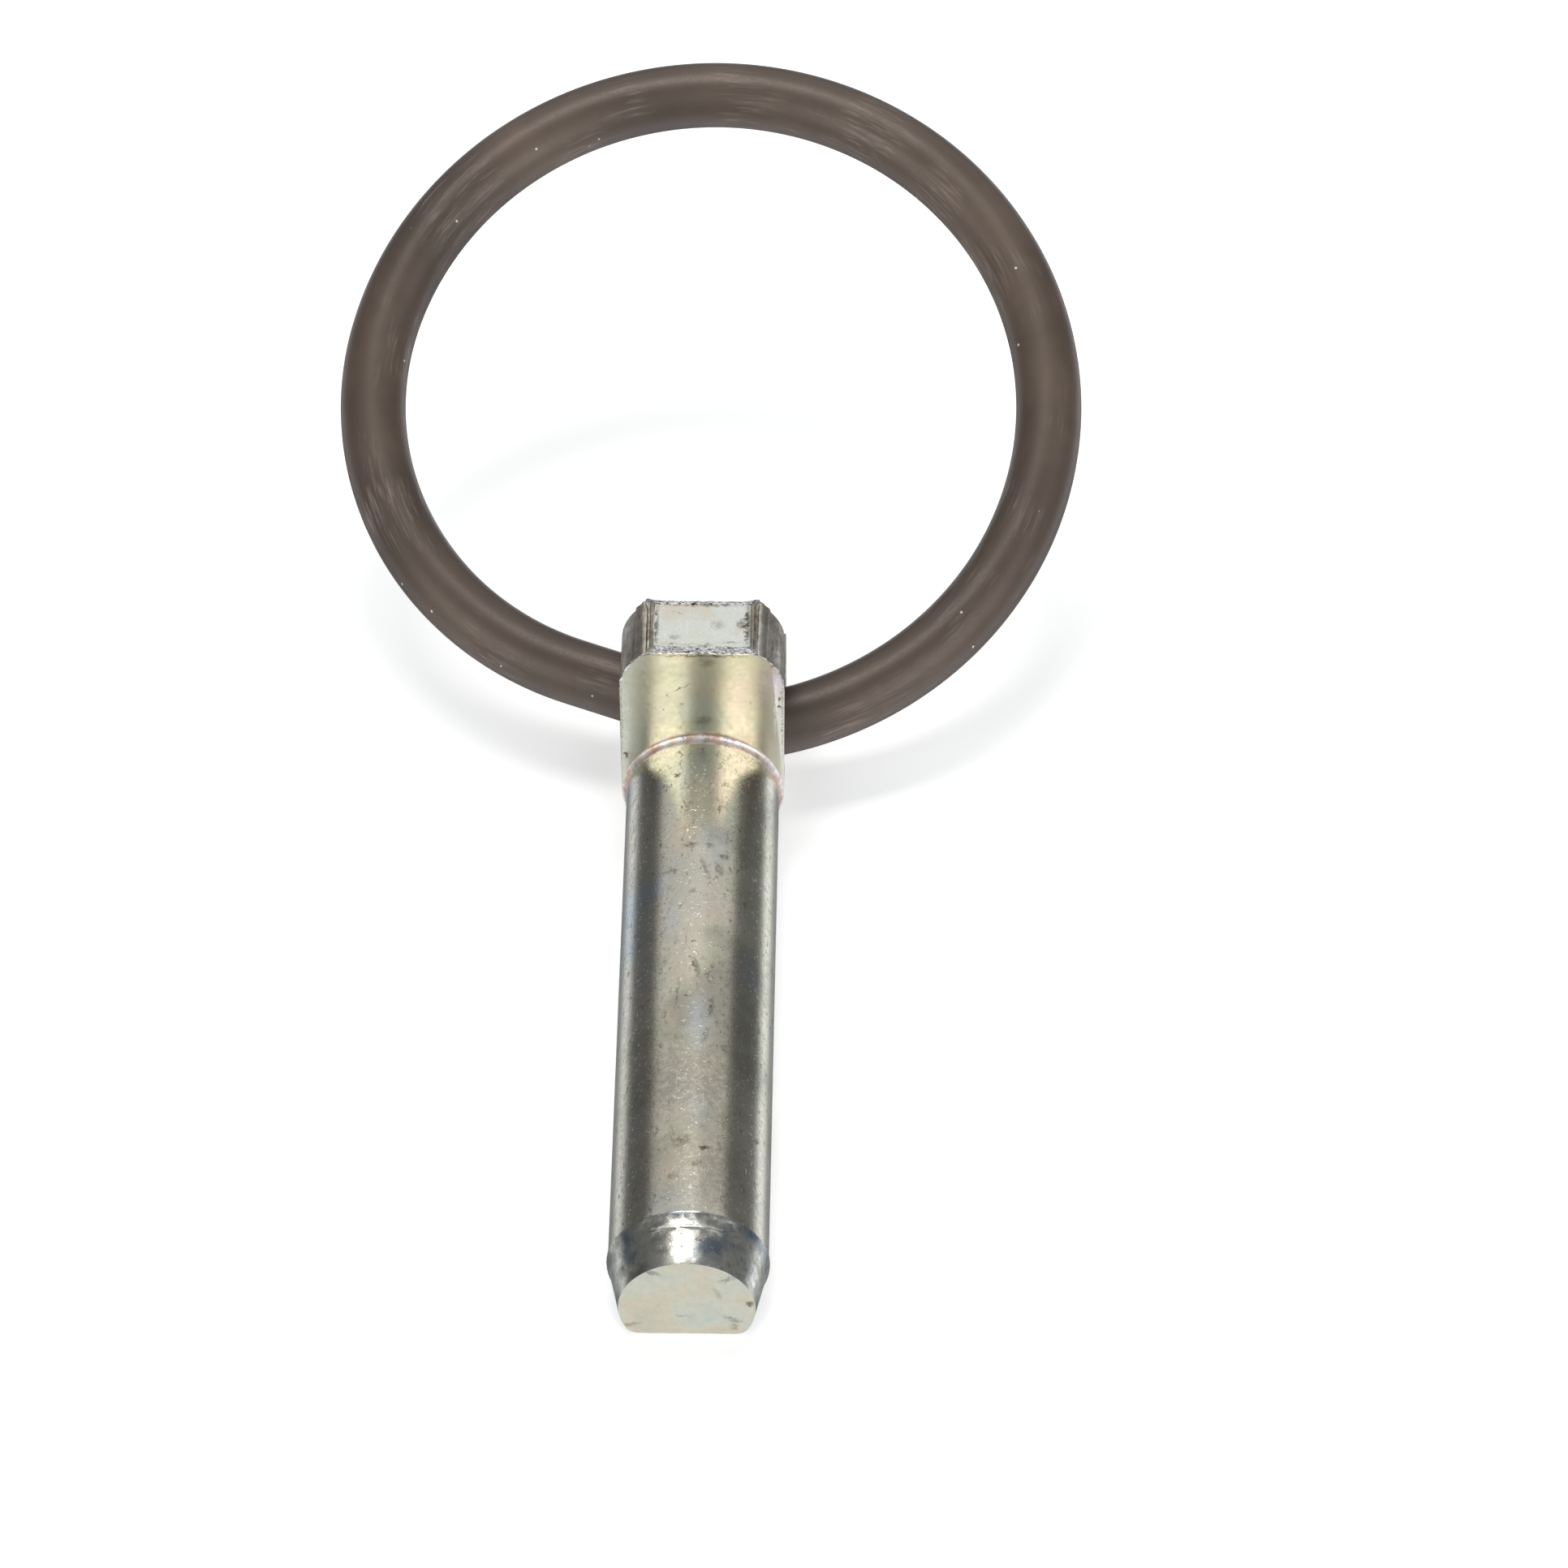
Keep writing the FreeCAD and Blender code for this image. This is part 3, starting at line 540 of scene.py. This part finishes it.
def lugTopEdge(start, end, angle):    # the long lines of the two rounded edges beside the pressed flat
    level = pinSizes["lugTop"] - pinSizes["lipDepth"]
    return start.z > level and end.z > level and abs(start.x - end.x) > pinSizes["topWidth"]


def lugArcEdge(start, end, angle):    # the lug's rounded corners, front and rear
    onLug = start.z > pinSizes["lugCorners"] and end.z > pinSizes["lugCorners"]
    return angle > pinSizes["fold"] and onLug and abs(start.y - end.y) < pinSizes["touch"]


def frontEdge(start, end, angle):    # the lug's outline on the front face, above the shank
    onLug = start.z > pinSizes["lugCorners"] and end.z > pinSizes["lugCorners"]
    inFront = abs(start.y) < pinSizes["lipDepth"] and abs(end.y) < pinSizes["lipDepth"]
    return angle > pinSizes["fold"] and onLug and inFront


def noseStart(start, end, angle):
    away = max(abs(start.y - pinSizes["noseStart"]), abs(end.y - pinSizes["noseStart"]))
    return angle > pinSizes["noseFold"] and away < pinSizes["near"]


def hardEdge(start, end, angle):    # every other sharp edge, but for those in the shoulder's plane
    if frontEdge(start, end, angle) or noseStart(start, end, angle):
        return False
    return angle > pinSizes["fold"] and max(abs(start.y), abs(end.y)) >= pinSizes["near"]


def finishOf(centre, normal):      # which area of the pin a face belongs to
    near, touch, top = pinSizes["near"], pinSizes["touch"], pinSizes["lugTop"]
    if centre.z > top - pinSizes["lipDepth"] and near < abs(normal.y) < 0.99:
        return "torn"
    if centre.y < pinSizes["noseEnd"] + near:
        return "noseEnd"
    if centre.y < pinSizes["noseStart"] + near:
        return "cone"
    if normal.z > 0.99 and centre.z > top - near:
        return "top"
    if centre.y < -pinSizes["filletLength"] or centre.z < pinSizes["filletFoot"] and centre.y < 0:
        return "shank"
    if centre.y < -touch:
        return "fillet"
    if centre.y < touch:
        return "face"
    return "head"


def bevelEdges(piece, width, steps, area):    # edit mode, on the selected edges
    bpy.ops.mesh.bevel(offset=width * mm, segments=steps, affect="EDGES", clamp_overlap=True,
                       material=list(pinFinish).index(area))


def swell(factor, level):          # edit mode, spreads the selected vertices from the shank's axis
    bpy.ops.transform.resize(value=(factor, 1, factor), center_override=(0, level * mm, 0))


def wearEdges(pin, sizes):         # edit mode: rounded edges, and a torn lip along the lug's top
    selectEdges(pin, lugTopEdge)
    bpy.ops.mesh.subdivide(number_cuts=sizes["lipCuts"])
    selectEdges(pin, lugArcEdge)
    bpy.ops.mesh.subdivide(number_cuts=1)
    selectEdges(pin, hardEdge)
    bevelEdges(pin, sizes["edge"], sizes["edgeSteps"], "edge")
    selectEdges(pin, frontEdge)
    bevelEdges(pin, sizes["frontEdge"], sizes["frontSteps"], "torn")
    bpy.ops.mesh.select_all(action="DESELECT")
    bpy.ops.mesh.select_mode(type="FACE")
    pin.active_material_index = list(pinFinish).index("torn")
    bpy.ops.object.material_slot_select()
    bpy.ops.transform.vertex_random(offset=sizes["lipTear"] * mm, uniform=0.0, normal=0.3, seed=7)


def shapeNose(pin, sizes):         # edit mode: a rolled ridge round the nose, a spread rim where it starts
    ridge, step = sizes["ridgeAt"], sizes["ridgeStep"]
    for cut in (ridge - step, ridge, ridge + step, sizes["rimFrom"]):
        bpy.ops.mesh.select_all(action="SELECT")
        bpy.ops.mesh.bisect(plane_co=(0, cut * mm, 0), plane_no=(0, 1, 0))
    pickVertices(pin, lambda at: abs(at.y - ridge) < sizes["near"] and abs(at.x) < sizes["ridgeHalf"]
                 and at.z > 0)
    swell(sizes["ridgeLift"], ridge)
    selectEdges(pin, noseStart)
    bevelEdges(pin, sizes["noseEdge"], sizes["noseSteps"], "cone")
    pickVertices(pin, lambda at: abs(at.y - sizes["noseStart"]) < sizes["rimWidth"]
                 and at.z > sizes["rimFoot"])
    swell(sizes["rimSpread"], sizes["noseStart"])


def raiseEars(pin, sizes):         # edit mode: burrs that the shearing pushed up at the lug's rear corners
    for side in (-1, 1):
        for across, behind, lift in sizes["ears"]:
            ear = Vector((side * across, behind, sizes["earLevel"]))
            pickVertices(pin, lambda at: (at - ear).length < sizes["earReach"] and at.y > sizes["earFrom"])
            bpy.ops.transform.translate(value=(side * sizes["earSpread"] * lift * mm, 0, lift * mm))


def makeLockPin(sizes):
    source = frame["nodes"]["lock_pin"]
    pin = source.copy()
    pin.data = source.data.copy()
    bpy.context.scene.collection.objects.link(pin)
    pin.parent = None
    pin.name = "lockPin"
    pin.data.materials.clear()
    areas = list(pinFinish)
    for area in areas:
        name = "zincPlatedSteel" + area[0].upper() + area[1:]
        pin.data.materials.append(platedSteel(name, pinFinish[area], platingPattern))
    makeActive(pin)
    bpy.ops.object.mode_set(mode="EDIT")
    bpy.ops.mesh.select_all(action="SELECT")
    bpy.ops.mesh.remove_doubles(threshold=sizes["merge"] * mm)
    bpy.ops.mesh.dissolve_limited(angle_limit=math.radians(sizes["flatWithin"]))
    bpy.ops.object.mode_set(mode="OBJECT")
    for face in pin.data.polygons:
        face.material_index = areas.index(finishOf(face.center / mm, face.normal))
    bpy.ops.object.mode_set(mode="EDIT")
    wearEdges(pin, sizes)
    shapeNose(pin, sizes)
    raiseEars(pin, sizes)
    bpy.ops.object.mode_set(mode="OBJECT")
    bpy.ops.object.shade_smooth()
    makeActive(pin)
    weighted = pin.modifiers.new("WeightedNormals", "WEIGHTED_NORMAL")    # keeps long reflections straight
    weighted.mode, weighted.weight = "FACE_AREA", 50
    bpy.ops.object.modifier_apply(modifier=weighted.name)
    print("pin faces", len(pin.data.polygons))
    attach(pin, "pin")
    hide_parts("lock_pin")


makeLockPin(pinSizes)
print("lock pin made")

ringSizes = {                  # millimetres, in the ring's own plane, from the hinge axis
    "cord": 2.76,
    "radius": 28.68,
    "reach": 26.55,
    "slackRadius": 25.66,
    "slackStart": 165.0,
    "bendRadius": 8.0,
    "bendStart": -78.0,
    "tilt": 25.7,
    "lean": 1.64,
    "turnStep": 1.5,           # degrees of an arc for each row of faces
    "arcRows": 4,              # but never fewer than this
    "straightRows": 8,
    "around": 48,
    "merge": 0.01,
}

ringFinish = {
    "clouds": [(0.32, "#41362F"), (0.50, "#4D4037"), (0.68, "#594B40")],
    "cloudSize": 14.0,
    "dust": "#A3948A",         # scuffs along the run
    "dustRun": 3.2,            # their length, then their width
    "dustWidth": 0.24,
    "dustAmount": 0.38,
    "dustPatch": 6.0,          # size of the areas that are scuffed or clean
    "speck": "#E4DCD2",
    "speckSpacing": 2.6,
    "grain": 0.22,
    "grainDepth": 0.018,
    "rough": (0.38, 0.50),
    "shine": 0.75,             # the shader's specular level
    "shineTint": "#FFF1E4",
    "bloom": 0.03,             # its sheen
    "bloomRough": 0.4,
    "bloomTint": "#B4BCD8",
}


def polar(centre, radius, degrees):
    turn = math.radians(degrees)
    return centre + Vector((radius * math.cos(turn), radius * math.sin(turn), 0))


def makeRing(sizes, pivot):
    main = Vector((0, sizes["reach"], 0))
    radius, slackRadius, bendRadius = sizes["radius"], sizes["slackRadius"], sizes["bendRadius"]
    slack = polar(main, radius - slackRadius, sizes["slackStart"])
    bend = polar(main, radius - bendRadius, sizes["bendStart"])
    spread = math.degrees(math.acos((slackRadius - bendRadius) / (bend - slack).length))
    slant = math.degrees(math.atan2(bend.y - slack.y, bend.x - slack.x)) - spread
    far = polar(main, radius, 90)
    deselectAll()
    bpy.ops.mesh.primitive_circle_add(vertices=sizes["around"], radius=sizes["cord"] * mm,
                                      location=far * mm, rotation=(0, math.pi / 2, 0))
    ring = bpy.context.object
    ring.name = "retainingRing"
    bpy.ops.object.transform_apply(location=True, rotation=True, scale=True)
    bpy.ops.object.mode_set(mode="EDIT")
    bpy.ops.mesh.select_all(action="SELECT")

    def spin(centre, start, end):
        steps = max(sizes["arcRows"], round(abs(end - start) / sizes["turnStep"]))
        bpy.ops.mesh.spin(steps=steps, angle=math.radians(end - start), center=centre * mm, axis=(0, 0, -1))

    spin(main, 90, sizes["slackStart"])
    spin(slack, sizes["slackStart"], slant + 360)
    run = (polar(bend, bendRadius, slant) - polar(slack, slackRadius, slant)) * mm
    for row in range(sizes["straightRows"]):
        bpy.ops.mesh.extrude_region_move(TRANSFORM_OT_translate={"value": run / sizes["straightRows"]})
    spin(bend, slant, sizes["bendStart"])
    spin(main, sizes["bendStart"], 90)
    bpy.ops.mesh.select_all(action="SELECT")
    bpy.ops.mesh.remove_doubles(threshold=sizes["merge"] * mm)
    bpy.ops.mesh.normals_make_consistent(inside=False)
    bpy.ops.object.mode_set(mode="OBJECT")
    ring.rotation_mode = "YXZ"     # lean first, then tilt
    ring.rotation_euler = (math.radians(sizes["tilt"]), -math.radians(sizes["lean"]), 0)
    ring.location = pivot
    makeActive(ring)
    bpy.ops.object.transform_apply(location=True, rotation=True, scale=True)
    ring.rotation_mode = "XYZ"
    bpy.ops.object.shade_smooth()
    return ring


# Moulded natural rubber: matte with a broad soft highlight, dusty scuffs along its run, grey bloom
# where it turns away.
def mouldedRubber(finish, sizes, pivot):
    material = bpy.data.materials.new("mouldedBrownRubber")
    material.use_nodes = True
    tree = material.node_tree
    shader = tree.nodes["Principled BSDF"]
    place = addNode(tree, "ShaderNodeTexCoord").outputs["Object"]
    slope = (math.radians(sizes["tilt"]), -math.radians(sizes["lean"]), 0)
    flat = addNode(tree, "ShaderNodeMapping", {"Vector": place, "Location": pivot, "Rotation": slope},
                   vector_type="TEXTURE")
    centred = addNode(tree, "ShaderNodeVectorMath", {
        0: flat.outputs[0], 1: (0, sizes["reach"] * mm, 0)}, operation="SUBTRACT")
    axes = addNode(tree, "ShaderNodeSeparateXYZ", {0: centred.outputs[0]})
    turn = addNode(tree, "ShaderNodeMath", {0: axes.outputs["X"], 1: axes.outputs["Y"]}, operation="ARCTAN2")
    along = addNode(tree, "ShaderNodeMath", {0: turn.outputs[0], 1: sizes["radius"] / finish["dustRun"]},
                    operation="MULTIPLY")
    out = addNode(tree, "ShaderNodeVectorMath", {0: centred.outputs[0], 1: (1, 1, 0)}, operation="MULTIPLY")
    outLength = addNode(tree, "ShaderNodeVectorMath", {0: out.outputs[0]}, operation="LENGTH")
    narrow = 1 / (finish["dustWidth"] * mm)
    across = addNode(tree, "ShaderNodeMath", {0: outLength.outputs["Value"], 1: narrow},
                     operation="MULTIPLY")
    over = addNode(tree, "ShaderNodeMath", {0: axes.outputs["Z"], 1: narrow}, operation="MULTIPLY")
    run = addNode(tree, "ShaderNodeCombineXYZ", {"X": along.outputs[0], "Y": across.outputs[0],
                                                 "Z": over.outputs[0]})

    cloud = addNode(tree, "ShaderNodeTexNoise", {
        "Vector": place, "Scale": 1 / (finish["cloudSize"] * mm), "Detail": 4.0, "Roughness": 0.6})
    browns = addNode(tree, "ShaderNodeValToRGB", {0: cloud.outputs[0]},
                     [(at, hexColour(colour)) for at, colour in finish["clouds"]])
    streak = addNode(tree, "ShaderNodeTexNoise", {
        "Vector": run.outputs[0], "Scale": 1.0, "Detail": 4.0, "Roughness": 0.6})
    patches = addNode(tree, "ShaderNodeTexNoise", {
        "Vector": place, "Scale": 1 / (finish["dustPatch"] * mm), "Detail": 2.0})
    patchy = addNode(tree, "ShaderNodeMapRange", {
        "Value": patches.outputs[0], "From Min": 0.47, "From Max": 0.66})
    streaky = addNode(tree, "ShaderNodeMapRange", {
        "Value": streak.outputs[0], "From Min": 0.48, "From Max": 0.70, "To Max": finish["dustAmount"]})
    dust = addNode(tree, "ShaderNodeMath", {0: patchy.outputs[0], 1: streaky.outputs[0]},
                   operation="MULTIPLY")
    dusty = addNode(tree, "ShaderNodeMix", {
        "Factor": dust.outputs[0], "A": browns.outputs["Color"], "B": hexColour(finish["dust"])},
        data_type="RGBA")
    specks = addNode(tree, "ShaderNodeTexVoronoi", {
        "Vector": place, "Scale": 1 / (finish["speckSpacing"] * mm)})
    speck = addNode(tree, "ShaderNodeMapRange", {
        "Value": specks.outputs["Distance"], "From Min": 0.03, "From Max": 0.055,
        "To Min": 0.8, "To Max": 0.0})
    colour = addNode(tree, "ShaderNodeMix", {
        "Factor": speck.outputs[0], "A": dusty.outputs["Result"], "B": hexColour(finish["speck"])},
        data_type="RGBA")
    tree.links.new(colour.outputs["Result"], shader.inputs["Base Color"])
    grain = addNode(tree, "ShaderNodeTexNoise", {
        "Vector": place, "Scale": 1 / (finish["grain"] * mm), "Detail": 4.0, "Roughness": 0.65})
    relief = addNode(tree, "ShaderNodeMath", {0: streak.outputs[0], 1: 0.6, 2: grain.outputs[0]},
                     operation="MULTIPLY_ADD")
    bump = addNode(tree, "ShaderNodeBump", {
        "Height": relief.outputs[0], "Strength": 0.5, "Distance": finish["grainDepth"] * mm})
    tree.links.new(bump.outputs[0], shader.inputs["Normal"])
    roughness = addNode(tree, "ShaderNodeMapRange", {
        "Value": grain.outputs[0], "From Min": 0.3, "From Max": 0.7,
        "To Min": finish["rough"][0], "To Max": finish["rough"][1]})
    tree.links.new(roughness.outputs[0], shader.inputs["Roughness"])
    shader.inputs["Specular IOR Level"].default_value = finish["shine"]
    shader.inputs["Specular Tint"].default_value = hexColour(finish["shineTint"])
    shader.inputs["Sheen Weight"].default_value = finish["bloom"]
    shader.inputs["Sheen Roughness"].default_value = finish["bloomRough"]
    shader.inputs["Sheen Tint"].default_value = hexColour(finish["bloomTint"])
    return material


ringPivot = Vector(next(j for j in frame["joints"] if j["name"] == "ring_swing")["pos_m"])
ring = makeRing(ringSizes, ringPivot)
ring.data.materials.append(mouldedRubber(ringFinish, ringSizes, ringPivot))
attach(ring, "ring")
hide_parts("retaining_ring")
print("retaining ring made")
